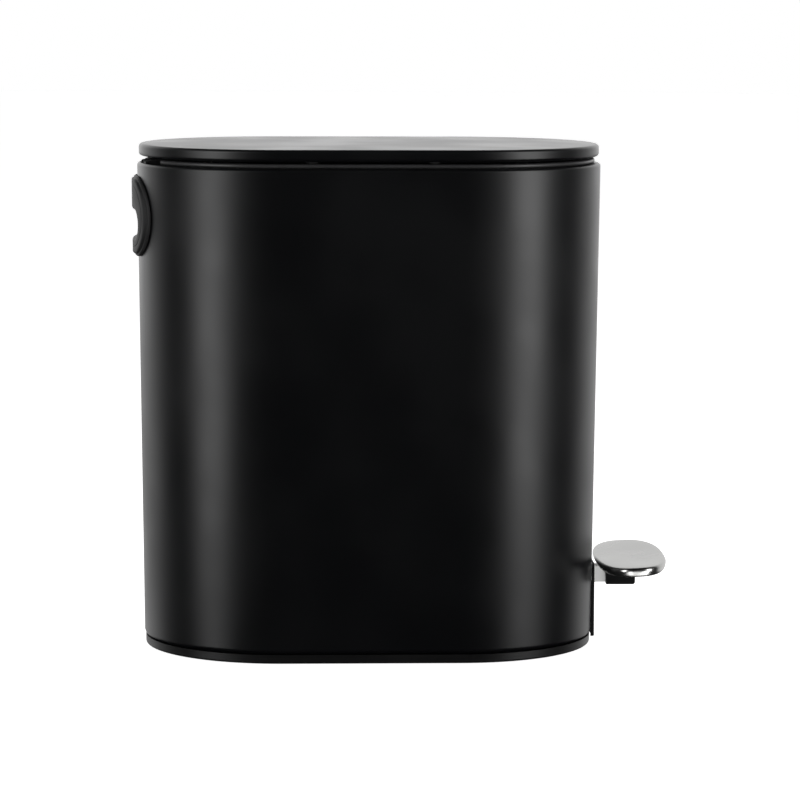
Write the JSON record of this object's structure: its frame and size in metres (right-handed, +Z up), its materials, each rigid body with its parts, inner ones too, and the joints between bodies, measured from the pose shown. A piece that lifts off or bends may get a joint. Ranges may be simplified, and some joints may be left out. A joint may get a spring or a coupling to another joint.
{
  "type": "pedal trash can",
  "caption": "Oval pedal bin: flat lid on goose-neck hinge arms, lift-out bucket, and a pedal lever that raises the lid through a damped rod.",
  "frame": {"origin": "on the floor under the middle of the oval body, at the middle rubber foot's lower face", "axes": "+Z up; -Y to the front, where the pedal is; +Y to the rear, where the hinge and the carry handle are; +X to the bin's left side as seen from the rear"},
  "size_m": [0.167, 0.3141, 0.295],
  "materials": {
    "black_paint": "satin black powder coat on steel sheet",
    "base_plastic": "fine matte moulding",
    "rubber": "matte black rubber",
    "bucket_plastic": "satin black moulding",
    "black_plastic": "matte black moulding",
    "handle_plastic": "fine grained black moulding",
    "zinc_steel": "zinc-plated steel",
    "clip_steel": "dark spring steel",
    "pad_steel": "satin stainless steel",
    "lever_steel": "folded zinc-plated steel",
    "damper_tube": "smooth dark grey tube",
    "damper_rod_steel": "ground steel",
    "piston_plastic": "natural acetal"
  },
  "bodies": {
    "bin": {"body_shell": "black_paint", "base_tray": "base_plastic", "rubber_feet": "rubber", "inner_bucket": "bucket_plastic", "slot_cover": "black_plastic", "rear_handle": "handle_plastic", "handle_screws": "zinc_steel", "hinge_block": "black_plastic", "hinge_pin": "zinc_steel", "rod_guides": "black_plastic", "damper_bracket": "black_plastic", "damper_cylinder": "damper_tube", "damper_cap": "black_plastic", "pivot_bracket": "zinc_steel", "bracket_screws": "zinc_steel", "pivot_pin": "zinc_steel", "pivot_clips": "clip_steel", "pedal_bumper": "rubber"},
    "lid": {"lid_shell": "black_paint", "lid_liner": "bucket_plastic", "hinge_arms": "zinc_steel", "lid_screws": "zinc_steel", "lid_bumpers": "rubber"},
    "pedal": {"pedal_pad": "pad_steel", "pedal_block": "black_plastic", "pedal_lever": "lever_steel", "pedal_rivets": "zinc_steel"},
    "lift_rod": {"lift_rod": "zinc_steel", "rod_clips": "clip_steel", "damper_rod": "damper_rod_steel", "damper_piston": "piston_plastic", "piston_seal": "rubber"}
  },
  "joints": [
    {"name": "lid_hinge", "type": "hinge", "parent": "bin", "child": "lid", "pos_m": [0, 0.126, 0.272], "axis": [-1, 0, 0], "range_deg": [0, 75]},
    {"name": "pedal_hinge", "type": "hinge", "parent": "bin", "child": "pedal", "pos_m": [0, -0.015, 0.024], "axis": [1, 0, 0], "range_deg": [0, 12.86]},
    {"name": "rod_slide", "type": "slide", "parent": "bin", "child": "lift_rod", "axis": [0, 0, 1], "range_m": [0, 0.02752]}
  ],
  "couplings": [
    {"joint": "pedal_hinge", "follows": "lid_hinge", "ratio": 0.17134},
    {"joint": "rod_slide", "follows": "lid_hinge", "m_per_rad": 0.021008}
  ]
}
